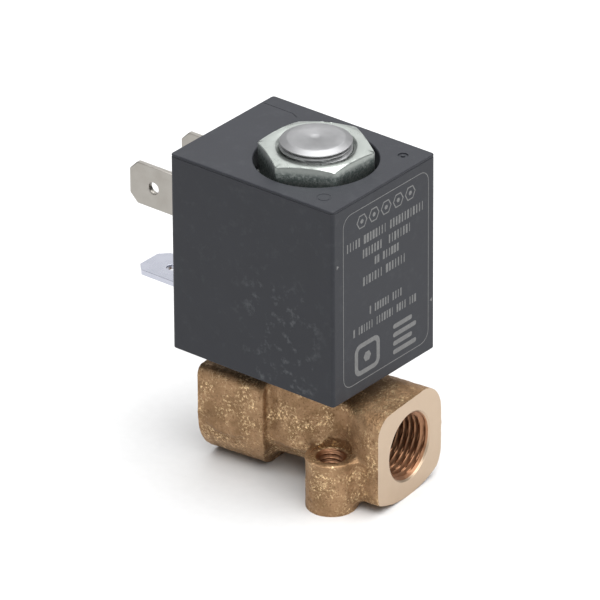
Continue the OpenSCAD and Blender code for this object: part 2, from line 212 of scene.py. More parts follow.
look_azimuth = math.radians(33.977)
look_elevation = math.radians(28.271)
lens_roll = math.radians(-0.354)
lens_distance = 1.07416
aim = Vector((-1.897, -1.278, 25.568)) * MM
lens = bpy.data.cameras.new("camera")
lens.lens = 477.08
lens.sensor_width = 36
camera = bpy.data.objects.new("camera", lens)
away = Vector((
    math.sin(look_azimuth) * math.cos(look_elevation),
    -math.cos(look_azimuth) * math.cos(look_elevation),
    math.sin(look_elevation)))
facing = (-away).to_track_quat("-Z", "Y").to_matrix().to_4x4() @ Matrix.Rotation(lens_roll, 4, "Z")
camera.matrix_world = Matrix.Translation(aim + away * lens_distance) @ facing
scene.collection.objects.link(camera)
scene.camera = camera

# ---- Valve body ----
# Hot-forged brass: two port blocks joined by a round waist, the upright valve chamber and two
# diagonal bosses, all with forging radii and a fine parting line. The port faces, the chamber's
# rim and the base are then machined, and the G1/8 ports and M4 holes are tapped.

def box_of(node):
    """Lowest and highest corners of a CAD node, in millimetres."""
    low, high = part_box(node)
    return np.array(low) / MM, np.array(high) / MM


def mount(name):
    return next(m for m in frame["record"]["mounts"] if m["name"] == name)


body_low, body_high = box_of("valve_body")
face_a, face_b = body_high[0], body_low[0]
rim_z = body_high[2]
port_z = 7.5
block_half, block_top = 7.8, 14.6
near_a, near_b = 4.7, -3.7
waist_r, chamber_r, chamber_low = 5.8, 7.2, 5.8
boss_x, boss_y, boss_r, boss_top = 7.6, -8.0, 3.55, 7.7
wall_y, flare_x, flare_slope = 5.3, 8.4, 0.69  # the blocks are thinned beside the bosses
belly_r = 17.4       # the port blocks are slightly arched underneath
draft_z, draft = 4.6, 0.45
spare = 0.6          # metal left on the faces that are machined off
forging_step = 0.23  # spacing of the forged skin's points


def melt(first, second, radius):
    """Union of two distances with a fillet of about this radius between them."""
    near = np.maximum(radius - np.abs(first - second), 0) / radius
    return np.minimum(first, second) - near ** 2 * radius / 4


def block_gap(points, low_x, high_x, middle_z, half_z, corners, edge):
    """Distance to a port block; corners are its radii at top left, top right, low left, low right."""
    x, y, z = points[..., 0], points[..., 1], points[..., 2] - middle_z
    top = np.where(y < 0, corners[0], corners[1])
    low = np.where(y < 0, corners[2], corners[3])
    corner = np.where(z > 0, top, low)
    side_y = np.abs(y) - block_half + corner
    side_z = np.abs(z) - half_z + corner
    outline = np.hypot(np.maximum(side_y, 0), np.maximum(side_z, 0)) - corner
    outline = outline + np.minimum(np.maximum(side_y, side_z), 0)
    ends = np.abs(x - (low_x + high_x) / 2) - (high_x - low_x) / 2
    across, along = outline + edge, ends + edge
    outside = np.hypot(np.maximum(across, 0), np.maximum(along, 0))
    return outside + np.minimum(np.maximum(across, along), 0) - edge


def rod_gap(across, along, radius, low, high, edge):
    """Distance to a round rod with rounded ends, from the distances across and along its axis."""
    side = across - radius + edge
    end = np.abs(along - (low + high) / 2) - (high - low) / 2 + edge
    return np.hypot(np.maximum(side, 0), np.maximum(end, 0)) + np.minimum(np.maximum(side, end), 0) - edge


def forging_gap(points):
    """Distance from each point to the skin of the forging, negative inside the metal."""
    x, y, z = points[..., 0], points[..., 1], points[..., 2]
    middle_z, half_z = (block_top - spare / 2) / 2, (block_top + spare / 2) / 2
    block_a = block_gap(points, near_a, face_a + spare + 1, middle_z, half_z, (2.9, 4.8, 3.4, 4.6), 0.6)
    block_a = np.maximum(block_a, np.hypot(y, z - belly_r) - belly_r)
    block_b = block_gap(points, face_b - spare - 1, near_b, middle_z, half_z, (1.3, 1.3, 7.3, 7.3), 0.3)
    block_b = np.maximum(block_b, x - near_b + np.maximum(draft_z - z, 0) * draft)
    pad = np.hypot((x + 9.6) / 3.4, (z - 7.0) / 1.7)
    block_b = block_b - 0.26 / (1 + np.exp((pad - 1) * 18))
    waist = rod_gap(np.hypot(y, z - port_z), x, waist_r, near_b - 2, near_a + 2, 0.5)
    chamber = rod_gap(np.hypot(x, y), z, chamber_r, chamber_low, rim_z + spare + 1, 0.8)
    blocks = []
    for side, block in ((1, block_a), (-1, block_b)):
        wall = wall_y + np.maximum(side * x - flare_x, 0) * flare_slope
        thinned = (side * y + wall) * 0.85
        blocks.append(-melt(-block, thinned, 1.2))
    body = melt(melt(blocks[0], waist, 0.8), melt(blocks[1], waist, 1.5), 0.4)
    body = melt(body, chamber, 1.4)
    for side in (1, -1):
        across = np.hypot(x - side * boss_x, y - side * boss_y)
        boss = rod_gap(across, z, boss_r, -spare, boss_top, 0.3)
        if side == 1:
            mark = np.hypot(x - boss_x + 0.4, z - 3.1)
            boss = boss - 0.12 / (1 + np.exp((np.abs(mark - 1.0) - 0.2) * 16))
        body = melt(body, boss, 1.9)
    flash = 0.10 * np.exp(-((z - port_z - 0.1) / 0.28) ** 2)
    return body - flash


def surface_of(gap, low, high, step):
    """Points and square faces of the skin where gap is zero, one point in each crossed cell."""
    axes = [np.arange(low[i], high[i] + step, step) for i in range(3)]
    inside = gap(np.stack(np.meshgrid(*axes, indexing="ij"), axis=-1)) < 0
    shape = np.array(inside.shape) - 1
    corners = np.zeros(shape, int)
    for i in (0, 1):
        for j in (0, 1):
            for k in (0, 1):
                corners += inside[i:shape[0] + i, j:shape[1] + j, k:shape[2] + k]
    crossed = (corners > 0) & (corners < 8)
    number = np.full(shape, -1)
    number[crossed] = np.arange(crossed.sum())
    points = (np.argwhere(crossed) + 0.5) * step + np.array(low)
    tiny = 0.01
    for _ in range(4):
        here = gap(points)
        slope = np.stack(
            [(gap(points + tiny * np.eye(3)[i]) - here) / tiny for i in range(3)], axis=-1)
        shift = here[:, None] * slope / np.maximum((slope ** 2).sum(1, keepdims=True), 0.2)
        points = points - np.clip(shift, -0.5 * step, 0.5 * step)
    faces = []
    for axis in range(3):
        u, v = (axis + 1) % 3, (axis + 2) % 3
        before = np.moveaxis(inside, (axis, u, v), (0, 1, 2))
        cells = np.moveaxis(number, (axis, u, v), (0, 1, 2))
        change = before[:-1, 1:-1, 1:-1] != before[1:, 1:-1, 1:-1]
        a, b, c = np.nonzero(change)
        ring = [cells[a, b, c], cells[a, b + 1, c], cells[a, b + 1, c + 1], cells[a, b, c + 1]]
        square = np.stack(ring, 1)
        outward = before[a, b + 1, c + 1]
        faces.append(np.where(outward[:, None], square, square[:, ::-1]))
    return points, np.concatenate(faces)


forged = Finish("forged_brass", (0.36, 0.215, 0.11), 0.5, 1.0)
scale_skin = forged.grain(2.2, 3)
pits = forged.grain(0.32, 3, roughness=0.6)
# Painted highlight: pale gold speckles, gathered in random patches, stand for glints of light on the blasted
# skin; the same speckles are made smoother.
painted_glint = forged.grain(0.36, 4, roughness=0.75).clipped(0.50, 0.62)
patches = forged.grain(2.6, 3).clipped(0.42, 0.66)
dark_brass = forged.blend(scale_skin.clipped(0.35, 0.65), (0.30, 0.185, 0.098), (0.43, 0.275, 0.155))
forged_color = forged.blend(painted_glint * patches, dark_brass, (0.95, 0.72, 0.42))
forged_color = forged.blend(pits.clipped(0.46, 0.30) * 0.7, forged_color, (0.17, 0.09, 0.045))
forged.shade({"Base Color": forged_color, "Roughness": 0.60 - painted_glint * 0.2})
forged.relief(pits + scale_skin * 0.8, 0.14)

machined = Finish("machined_brass", (0.70, 0.53, 0.37), 0.34, 1.0)
port_rings = machined.length(machined.stretched(0, 1, 1, (0, 0, port_z)))
cutter_marks = machined.math("SINE", port_rings * 38.0 + machined.grain(3.0) * 2.0)
stain = machined.grain(2.5, 3)
machined.shade({
    "Base Color": machined.blend(stain, (0.49, 0.37, 0.265), (0.56, 0.44, 0.325)),
    "Roughness": 0.30 + stain * 0.14})
machined.relief(cutter_marks * 0.5 + machined.grain(0.4), 0.006)

tapped = Finish("tapped_brass", (0.40, 0.24, 0.13), 0.38, 1.0)
tap_oil = tapped.grain(0.9, 3)
tapped.shade({
    "Base Color": tapped.blend(tap_oil, (0.25, 0.12, 0.065), (0.42, 0.23, 0.13)),
    "Roughness": 0.28 + tap_oil * 0.25})
tapped.relief(tapped.grain(0.12, 2), 0.01)

forging_low = (face_b - 1, body_low[1] - 0.8, -0.8)
forging_high = (face_a + 1, body_high[1] + 0.8, rim_z + 1)


def forging_cut_back(points):
    """The forging, ended a little way outside the faces that are machined."""
    x, z = points[..., 0], points[..., 2]
    trims = [x - face_a - spare, face_b - spare - x, z - rim_z - spare, -spare - z]
    return np.maximum(forging_gap(points), np.max(trims, axis=0))


skin_points, skin_faces = surface_of(forging_cut_back, forging_low, forging_high, forging_step)
dents = np.array([noise.noise(Vector(p) * 0.9) + 0.5 * noise.noise(Vector(p) * 2.3) for p in skin_points])
outwards = np.stack(
    [(forging_gap(skin_points + 0.02 * np.eye(3)[i]) - forging_gap(skin_points)) / 0.02 for i in range(3)],
    axis=-1)
skin_points = skin_points + outwards * dents[:, None] * 0.055
valve_body = add_piece("valve_body_forging", skin_points, skin_faces.tolist(), forged)


def place_along(points, start, direction):
    """Points drawn about +Z, moved so that +Z runs from start along direction."""
    turn = Vector((0, 0, 1)).rotation_difference(Vector(direction)).to_matrix()
    return np.asarray(points) @ np.array(turn).T + np.array(start)


def revolve(name, outline, finish, steps=96, closed=False, sharp_angle=32):
    """Solid made by turning an outline about Z. The outline is a function of the angle, or a list,
    of (radius, height) points from the bottom up; one that isn't closed starts and ends on the axis."""
    angles = 2 * math.pi * np.arange(steps) / steps
    rows = np.array([outline(a) if callable(outline) else outline for a in angles], float)
    count = rows.shape[1]
    points = np.stack([rows[..., 0] * np.cos(angles)[:, None],
                       rows[..., 0] * np.sin(angles)[:, None], rows[..., 1]], -1).reshape(-1, 3)
    links = count if closed else count - 1
    faces = []
    for s in range(steps):
        t = (s + 1) % steps
        for i in range(links):
            j = (i + 1) % count
            faces.append((s * count + i, t * count + i, t * count + j, s * count + j))
    piece = add_piece(name, points, faces, finish, sharp_angle)
    weld(piece)
    return piece


def weld(piece):
    """Merge points that share a place, such as those on the axis, and drop empty faces."""
    work = bmesh.new()
    work.from_mesh(piece.data)
    bmesh.ops.remove_doubles(work, verts=work.verts, dist=1e-7)
    bmesh.ops.dissolve_degenerate(work, edges=work.edges, dist=1e-8)
    work.to_mesh(piece.data)
    work.free()


def thread_outline(depth, core_r, major_r, pitch, mouth_r, mouth_depth, above=1.0):
    """Outline of a tapped hole's cutter, measured down from the mouth, for each angle."""
    rows_per_turn = 12
    heights = np.arange(0, depth, pitch / rows_per_turn)

    def outline(angle):
        phase = (heights / pitch - angle / (2 * math.pi)) % 1
        groove = np.clip(1.35 * (1 - 2 * np.abs(phase - 0.5)) - 0.1, 0, 1)
        runout = np.clip((depth - heights) / pitch - 0.6, 0, 1)
        radius = core_r + (major_r - core_r) * groove * runout
        cone = mouth_r - (mouth_r - core_r) * heights / mouth_depth
        radius = np.maximum(radius, cone)
        top = [(0, -above), (mouth_r, -above)]
        return top + list(zip(radius, heights)) + [(core_r, depth), (0, depth)]

    return outline


def shade_by_edges(piece, angle, turn=0.0):
    """Smooth shading between sharp edges; faces square to axes at this turn about Z stay flat."""
    mesh = piece.data
    if "custom_normal" in mesh.attributes:
        mesh.attributes.remove(mesh.attributes["custom_normal"])
    mesh.shade_smooth()
    mesh.set_sharp_from_angle(angle=math.radians(angle))
    facing = np.zeros(len(mesh.polygons) * 3)
    mesh.polygons.foreach_get("normal", facing)
    facing = facing.reshape(-1, 3)
    axes = np.array([(math.cos(turn), math.sin(turn), 0), (-math.sin(turn), math.cos(turn), 0), (0, 0, 1)])
    square = (np.abs(facing @ axes.T) > 0.99995).any(axis=1)
    mesh.polygons.foreach_set("use_smooth", ~square)


def carve(piece, tools):
    """Cut each tool out of the piece, and delete the tools."""
    for tool in tools:
        cut = piece.modifiers.new(tool.name, "BOOLEAN")
        cut.operation = "DIFFERENCE"
        cut.solver = "MANIFOLD"
        cut.object = tool
    evaluated = piece.evaluated_get(bpy.context.evaluated_depsgraph_get())
    carved = bpy.data.meshes.new_from_object(evaluated)
    piece.modifiers.clear()
    piece.data = carved
    for tool in tools:
        bpy.data.objects.remove(tool)


def tool_along(name, outline, start, direction, steps=72, closed=False):
    """A turned cutter that enters at start and runs along direction."""
    tool = revolve(name, outline, machined, steps, closed)
    points = np.array([v.co for v in tool.data.vertices]) / MM
    placed = place_along(points, start, direction) * MM
    tool.data.vertices.foreach_set("co", placed.astype(np.float32).ravel())
    tool.data.update()
    return tool


def drill(name, radius, start, direction, depth, steps=48):
    return tool_along(name, [(0, 0), (radius, 0), (radius, depth), (0, depth)], start, direction, steps)


def slab(name, low, high):
    """Plain block, as a cutter."""
    corners = [(x, y, z) for x in (low[0], high[0]) for y in (low[1], high[1]) for z in (low[2], high[2])]
    faces = [(0, 1, 3, 2), (4, 6, 7, 5), (0, 4, 5, 1), (2, 3, 7, 6), (0, 2, 6, 4), (1, 5, 7, 3)]
    return add_piece(name, corners, faces, machined)


port_depth, orifice_r, inlet_r, inlet_x = 9.0, 1.25, 1.1, 3.4
core_r, major_r, port_pitch = 4.283, 4.864, 0.907
seat_r, seat_z, chamber_floor, ledge_z, bore_r, ferrule_r = 2.0, 11.4, 10.2, 12.6, 4.9, 6.0
tap_core_r, tap_major_r, tap_pitch, spot_r = 1.621, 2.0, 0.7, 2.85
port_tap = thread_outline(port_depth, core_r, major_r, port_pitch, 5.1, 0.8)
wide = 40
cutters = [
    slab("face_a_cut", (face_a, -wide, -wide), (face_a + wide, wide, wide)),
    slab("face_b_cut", (face_b - wide, -wide, -wide), (face_b, wide, wide)),
    slab("rim_cut", (-wide, -wide, rim_z), (wide, wide, rim_z + wide)),
    slab("base_cut", (-wide, -wide, -wide), (wide, wide, 0)),
    tool_along("port_a_tap", port_tap, (face_a, 0, port_z), (-1, 0, 0), 96),
    tool_along("port_b_tap", port_tap, (face_b, 0, port_z), (1, 0, 0), 96),
    tool_along("chamber_bore", [
        (0, seat_z), (seat_r - 0.3, seat_z), (seat_r, seat_z - 0.4), (seat_r, chamber_floor),
        (bore_r, chamber_floor), (bore_r, ledge_z), (ferrule_r, ledge_z), (ferrule_r, rim_z - 0.35),
        (ferrule_r + 0.35, rim_z), (ferrule_r + 0.35, rim_z + 1), (0, rim_z + 1)],
        (0, 0, 0), (0, 0, 1), 96),
    drill("orifice", orifice_r, (0, 0, port_z), (0, 0, 1), seat_z - port_z + 1),
    drill("outlet", orifice_r, (0.2, 0, port_z), (-1, 0, 0), -face_b - port_depth + 0.5),
    drill("inlet_up", inlet_r, (inlet_x, 0, port_z - 0.3), (0, 0, 1), chamber_floor - port_z + 0.6),
    drill("inlet", inlet_r, (inlet_x - 0.2, 0, port_z), (1, 0, 0), face_a - port_depth - inlet_x + 0.6),
]
for side in (1, -1):
    hole_x, hole_y = side * boss_x, side * boss_y
    name = "front" if side == 1 else "rear"
    cutters.append(drill(name + "_spot_face", spot_r, (hole_x, hole_y, boss_top - 0.1), (0, 0, 1), 1.3))
    cutters.append(tool_along(
        name + "_hole_tap",
        thread_outline(boss_top, tap_core_r, tap_major_r, tap_pitch, 2.3, 0.45, above=0.5),
        (hole_x, hole_y, boss_top - 0.1), (0, 0, -1), 48))
    cutters.append(drill(name + "_hole_end", tap_core_r, (hole_x, hole_y, 1), (0, 0, -1), 2))
carve(valve_body, cutters)


def face_table(piece):
    """Middle and outward direction of each face of a piece, in millimetres."""
    count = len(piece.data.polygons)
    middles, outward = np.zeros(count * 3), np.zeros(count * 3)
    piece.data.polygons.foreach_get("center", middles)
    piece.data.polygons.foreach_get("normal", outward)
    return middles.reshape(-1, 3) / MM, outward.reshape(-1, 3)


def paint_faces(piece, finishes, choice):
    """Give the piece these finishes, and each face the one whose number is in choice."""
    piece.data.materials.clear()
    for finish in finishes:
        piece.data.materials.append(finish.material)
    piece.data.polygons.foreach_set("material_index", choice.astype(np.int32))
    piece.data.update()


middles, outward = face_table(valve_body)
from_port_axis = np.hypot(middles[:, 1], middles[:, 2] - port_z)
from_tube_axis = np.hypot(middles[:, 0], middles[:, 1])
from_hole = np.minimum(
    np.hypot(middles[:, 0] - boss_x, middles[:, 1] - boss_y),
    np.hypot(middles[:, 0] + boss_x, middles[:, 1] + boss_y))
flat_cut = (np.abs(middles[:, 0] - face_a) < 0.01) | (np.abs(middles[:, 0] - face_b) < 0.01)
flat_cut |= (np.abs(middles[:, 2] - rim_z) < 0.01) | (np.abs(middles[:, 2]) < 0.01)
in_chamber = (from_tube_axis < ferrule_r + 0.36) & (middles[:, 2] > chamber_floor - 0.1)
in_port = (from_port_axis < 5.12) & ((middles[:, 0] > 5.9) | (middles[:, 0] < face_b + port_depth + 0.1))
in_port &= (outward * np.stack([0 * from_hole, middles[:, 1], middles[:, 2] - port_z], 1)).sum(1) < 0
in_mouth = in_port & ((middles[:, 0] > face_a - 0.25) | (middles[:, 0] < face_b + 0.25))
in_hole = (from_hole < 2.1) & (middles[:, 2] < boss_top + 0.1)
choice = np.zeros(len(middles))
choice[flat_cut | in_chamber] = 1
choice[in_port | in_hole] = 2
choice[in_mouth] = 1
paint_faces(valve_body, (forged, machined, tapped), choice)
shade_by_edges(valve_body, 38)
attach(valve_body, "valve")
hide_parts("valve_body")

# ---- Ferrule and its seal ----
# Turned brass ferrule with a hexagon, screwed down over the flared foot of the tube, and the
# rubber ring that it squeezes against the ledge in the body. A few of its faces show under the coil.

def dress(finish, slot, *nodes):
    """Give CAD nodes this finish. The slot argument is not used."""
    for node in nodes:
        for holder in frame["nodes"][node].material_slots:
            holder.material = finish.material


def hexagon_radius(angle, flats, turn, corner_r):
    """Distance from the axis to a hexagon's side at this angle, with its corners taken off."""
    from_flat = (angle - turn) % (math.pi / 3) - math.pi / 6
    return min(flats / 2 / math.cos(from_flat), corner_r)


def chamfered_hexagon(flats, turn, low, high, bore, mouth, thread=None):
    """Outline function of a hexagon nut: shallow chamfers, soft edges and a bore."""
    face_r = flats / 2 - 0.2
    corner_r = flats / math.sqrt(3) - 0.1
    soft = 0.1

    def outline(angle):
        side = hexagon_radius(angle, flats, turn, corner_r)
        drop = (side - face_r) * math.tan(math.radians(17))
        rows = [
            (bore, low + mouth), (bore + mouth, low),
            (face_r - soft, low), (face_r + soft, low + soft * 0.5),
            (side - soft, low + drop), (side, low + drop + soft),
            (side, high - drop - soft), (side - soft, high - drop + soft * 0.4),
            (face_r + soft, high - soft * 0.5), (face_r - soft, high),
            (bore + mouth + soft, high), (bore + mouth - soft * 0.5, high - soft)]
        if thread:
            rows += thread(angle, high - mouth, low + mouth)
        else:
            rows += [(bore, high - mouth)]
        return rows

    return outline


turned = Finish("turned_brass", (0.66, 0.49, 0.31), 0.3, 1.0)
tool_rings = turned.math("SINE", turned.length(turned.stretched(0, 0, 1)) * 42.0)
turned_haze = turned.grain(1.6, 3)
turned.shade({
    "Base Color": turned.blend(turned_haze, (0.54, 0.38, 0.23), (0.68, 0.51, 0.33)),
    "Roughness": 0.26 + turned_haze * 0.16})
turned.relief(tool_rings * 0.5 + turned_haze, 0.006)

ferrule_low, ferrule_high = box_of("tube_base")
hexagon_low = rim_z
tube_r = 5.0
groove = 0.35


def ferrule_outline(angle):
    side = hexagon_radius(angle, 13.0, 0, 7.42)
    drop = (side - 6.3) * math.tan(math.radians(30))
    crests = []
    for k in range(3):
        foot = ferrule_low[2] + 0.35 + k * 0.75
        crests += [(5.72, foot), (5.98, foot + 0.25), (5.98, foot + 0.4)]
    return [(tube_r + 0.02, ferrule_low[2]), (5.7, ferrule_low[2])] + crests + [
        (5.98 - groove, hexagon_low - 0.12), (5.98 - groove, hexagon_low),
        (6.25, hexagon_low), (side, hexagon_low + drop),
        (side, ferrule_high[2] - drop), (6.3, ferrule_high[2]),
        (tube_r + 0.25, ferrule_high[2]), (tube_r + 0.02, ferrule_high[2] - 0.2)]


ferrule = revolve("tube_ferrule", ferrule_outline, turned, 180, closed=True)
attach(ferrule, "valve")
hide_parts("tube_base")

rubber = Finish("seal_rubber", (0.018, 0.018, 0.019), 0.55)
bloom = rubber.grain(0.7, 4)
rubber.shade({
    "Base Color": rubber.blend(bloom, (0.012, 0.012, 0.013), (0.035, 0.035, 0.036)),
    "Roughness": 0.45 + bloom * 0.25})
rubber.relief(bloom, 0.01)
dress(rubber, "rubber", "body_o_ring")

# ---- Guide tube, plunger and spring ----
# A drawn stainless tube holds a plunger of magnetic stainless steel, with a rubber disc pressed
# into its foot. A wire spring in the plunger's bore pushes it down onto the seat.

stainless = Finish("drawn_stainless", (0.60, 0.60, 0.60), 0.28, 1.0)
draw_lines = stainless.grain(0.25, 2, at=stainless.stretched(1, 1, 0.06))
stainless.shade({
    "Base Color": stainless.blend(draw_lines, (0.54, 0.54, 0.54), (0.66, 0.66, 0.65)),
    "Roughness": 0.2 + draw_lines * 0.2})
stainless.relief(draw_lines, 0.004)
dress(stainless, "stainless", "guide_tube")

core_steel = Finish("core_steel", (0.63, 0.63, 0.64), 0.32, 1.0)
lathe_rings = core_steel.length(core_steel.stretched(1, 1, 0))
face_marks = core_steel.math("SINE", lathe_rings * 30.0 + core_steel.grain(4.0) * 3.0)
handling = core_steel.grain(1.2, 4)
core_steel.shade({
    "Base Color": core_steel.blend(handling, (0.26, 0.26, 0.265), (0.35, 0.35, 0.355)),
    "Roughness": 0.36 + handling * 0.16 + face_marks * 0.03})
core_steel.relief(face_marks * 0.3 + core_steel.grain(0.3), 0.002)
dress(core_steel, "core_steel", "plunger")
dress(rubber, "rubber", "plunger_seal")

spring_steel = Finish("spring_steel", (0.45, 0.45, 0.46), 0.3, 1.0)
wire_haze = spring_steel.grain(0.5, 3)
spring_steel.shade({
    "Base Color": spring_steel.blend(wire_haze, (0.38, 0.38, 0.39), (0.52, 0.52, 0.52)),
    "Roughness": 0.22 + wire_haze * 0.18})


def node_tree(name, inputs):
    """Geometry Nodes tree with these named inputs, and a function that adds a node to it."""
    tree = bpy.data.node_groups.new(name, "GeometryNodeTree")
    tree.interface.new_socket("Geometry", in_out="OUTPUT", socket_type="NodeSocketGeometry")
    for label, kind in inputs.items():
        tree.interface.new_socket(label, in_out="INPUT", socket_type="NodeSocket" + kind)

    def add(kind, settings=None, **links):
        node = tree.nodes.new(kind)
        for label, value in (settings or {}).items():
            setattr(node, label, value)
        for label, source in links.items():
            socket = node.inputs[label.replace("_", " ")]
            if isinstance(source, bpy.types.NodeSocket):
                tree.links.new(source, socket)
            else:
                socket.default_value = source
        return node

    return tree, tree.nodes.new("NodeGroupInput").outputs, add


def finish_tree(tree, geometry, material, add):
    """End a tree: real geometry, in this material, to the output."""
    real = add("GeometryNodeRealizeInstances", Geometry=geometry)
    painted = add("GeometryNodeSetMaterial", Geometry=real.outputs["Geometry"], Material=material)
    tree.links.new(painted.outputs["Geometry"], tree.nodes.new("NodeGroupOutput").inputs["Geometry"])
    return tree


def mesh_from(name, tree, values):
    """Plain mesh that a tree makes from these input values."""
    holder = bpy.data.objects.new(name, bpy.data.meshes.new(name))
    scene.collection.objects.link(holder)
    work = holder.modifiers.new(name, "NODES")
    work.node_group = tree
    for item in tree.interface.items_tree:
        if item.name in values:
            work[item.identifier] = values[item.name]
    mesh = bpy.data.meshes.new_from_object(holder.evaluated_get(bpy.context.evaluated_depsgraph_get()))
    bpy.data.objects.remove(holder)
    return mesh


def spring_tree():
    """Geometry Nodes: round wire swept along a spiral that rises from its lower end."""
    tree, given, add = node_tree("wound_spring", {
        "Turns": "Float", "Coil Radius": "Float", "Rise": "Float", "Wire Radius": "Float",
        "Finish": "Material"})
    path = add("GeometryNodeCurveSpiral", Resolution=28, Rotations=given["Turns"], Height=given["Rise"],
               Start_Radius=given["Coil Radius"], End_Radius=given["Coil Radius"])
    section = add("GeometryNodeCurvePrimitiveCircle", Resolution=12, Radius=given["Wire Radius"])
    wire = add("GeometryNodeCurveToMesh", Curve=path.outputs["Curve"],
               Profile_Curve=section.outputs["Curve"], Fill_Caps=True)
    return finish_tree(tree, wire.outputs["Mesh"], given["Finish"], add)


# Its upper end stays against the core.
spring_low, spring_high = box_of("return_spring")
wire_r = 0.25
spring_mesh = mesh_from("return_spring_wire", spring_tree(), {
    "Turns": 7.0, "Coil Radius": (spring_high[0] - wire_r) * MM, "Wire Radius": wire_r * MM,
    "Rise": (spring_high[2] - spring_low[2] - 2 * wire_r) * MM, "Finish": spring_steel.material})
spring_mesh.transform(Matrix.Translation((0, 0, (spring_low[2] + wire_r) * MM)))
spring_mesh.shade_smooth()
spring_mesh.set_sharp_from_angle(angle=math.radians(40))
spring = bpy.data.objects.new("return_spring_wire", spring_mesh)
scene.collection.objects.link(spring)
lift = next(j for j in frame["record"]["behaviour"]["joints"] if j["name"] == "plunger_slide")["range_m"][1]
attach(spring, "valve")
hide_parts("return_spring")
1 - lift / ((spring_high[2] - spring_low[2]) * MM)
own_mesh(spring)

# ---- Fixed core and shading ring ----
# A turned plug of core steel, welded into the top of the tube. It runs on upwards as the threaded
# stud for the nut, with a flat, turned end and a centre dimple, and a copper ring is pressed into
# the groove in its lower face.

core_low, core_high = box_of("fixed_core")
ring_high = box_of("shading_ring")[1]
core_z, stud_top = core_low[2], core_high[2]
tube_top = box_of("guide_tube")[1][2]
plug_r = 4.5
stud_r = 4.97
stud_core_r = 4.45
stud_pitch = 1.0
land_r = 3.95
dimple_r = 0.9


def stud_outline(angle):
    ring_out, ring_in, ring_top = ring_high[0], 3.2, ring_high[2]
    rows = [(0, core_z), (ring_in, core_z), (ring_in, ring_top), (ring_out, ring_top), (ring_out, core_z),
            (plug_r - 0.15, core_z), (plug_r, core_z + 0.15), (plug_r, tube_top), (stud_core_r, tube_top),
            (stud_core_r, tube_top + 0.5)]
    heights = np.arange(tube_top + 0.6, stud_top - 0.75, stud_pitch / 10)
    phase = (heights / stud_pitch - angle / (2 * math.pi)) % 1
    crest = np.clip(1.6 * (1 - 2 * np.abs(phase - 0.5)) - 0.1, 0, 1)
    taper = np.clip((stud_top - 0.75 - heights) / 0.25, 0, 1)
    rows += list(zip(stud_core_r + (stud_r - stud_core_r) * crest * taper, heights))
    rows += [(stud_core_r, stud_top - 0.72), (4.72, stud_top - 0.66), (4.9, stud_top - 0.58)]
    rows += [(4.93, stud_top - 0.50), (4.88, stud_top - 0.42)]
    rows += [(land_r + 0.12, stud_top - 0.06), (land_r, stud_top - 0.02), (land_r - 0.15, stud_top)]
    rows += [(2.6, stud_top), (2.5, stud_top - 0.02), (dimple_r + 0.06, stud_top - 0.02)]
    rows += [(dimple_r - 0.05, stud_top - 0.05), (0.3, stud_top - 0.15), (0, stud_top - 0.16)]
    return rows


core = revolve("fixed_core_stud", stud_outline, core_steel, 120, sharp_angle=28)
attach(core, "valve")
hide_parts("fixed_core")

copper = Finish("bare_copper", (0.72, 0.36, 0.22), 0.3, 1.0)
tarnish = copper.grain(0.8, 4)
copper.shade({
    "Base Color": copper.blend(tarnish, (0.60, 0.27, 0.15), (0.80, 0.44, 0.29)),
    "Roughness": 0.24 + tarnish * 0.2})
dress(copper, "copper", "shading_ring")

# ---- Bobbin, winding and leads ----
# A nylon spool wound with enamelled copper wire. Its two ends run back past the yoke to the
# supply terminals. All of it is buried in the moulding.

nylon = Finish("bobbin_nylon", (0.62, 0.58, 0.48), 0.5)
flow = nylon.grain(2.0, 3)
nylon.shade({
    "Base Color": nylon.blend(flow, (0.55, 0.50, 0.40), (0.68, 0.64, 0.54)),
    "Roughness": 0.4 + flow * 0.2})
nylon.relief(nylon.grain(0.2), 0.005)
dress(nylon, "bobbin_nylon", "bobbin")

enamel = Finish("enamelled_wire", (0.42, 0.15, 0.06), 0.28, 0.7)
varnish = enamel.grain(1.4, 3)
enamel.shade({
    "Base Color": enamel.blend(varnish, (0.32, 0.10, 0.04), (0.52, 0.21, 0.09)),
    "Roughness": 0.2 + varnish * 0.2})
dress(enamel, "copper", "lead_wire_start", "lead_wire_finish")

winding_low, winding_high = box_of("winding")
wire_d = 0.42
winding_r, hub_r = 9.0, 6.73
winding_height = winding_high[2] - winding_low[2]
turn_count = int(winding_height / wire_d)
wire_pitch = winding_height / turn_count
wound = [(hub_r, winding_low[2])]
for number in range(turn_count):
    middle = winding_low[2] + (number + 0.5) * wire_pitch
    for tilt in (-80, -40, 0, 40, 80):
        bulge = wire_d / 2 * math.cos(math.radians(tilt))
        rise = wire_pitch / 2 * math.sin(math.radians(tilt))
        wound.append((winding_r - wire_d / 2 + bulge, middle + rise))
wound.append((hub_r, winding_high[2]))
winding = revolve("wound_wire", wound, enamel, 64, closed=True)
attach(winding, "coil")
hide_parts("winding")

# ---- Yoke and flux bush ----
# The magnet's path outside the winding: a C of bent mild steel strip, zinc plated, and a short
# steel bush pressed into the foot of the spool.

zinc = Finish("zinc_plate", (0.55, 0.56, 0.55), 0.36, 1.0)
spangle = zinc.grain(0.9, 4)
zinc.shade({
    "Base Color": zinc.blend(spangle, (0.44, 0.46, 0.45), (0.62, 0.63, 0.61)),
    "Roughness": 0.30 + spangle * 0.22})
zinc.relief(zinc.grain(0.35, 3), 0.012)
dress(zinc, "yoke_steel", "yoke_bracket", "flux_bush")

# ---- Terminals ----
# Two upright supply tabs and a flat earth tab, blanked from tinned brass strip 0.8 thick. Each
# has a locking hole, chamfered corners and rolled edges.

def coil_turn():
    """Turn of the coil about the tube, from the direction that its connector screw faces."""
    axis = mount("connector_screw")["axis"]
    return math.atan2(-axis[1], -axis[0])


coil_low, coil_high = box_of("coil_housing")
coil_z, coil_h = coil_low[2], coil_high[2] - coil_low[2]
turn = coil_turn()


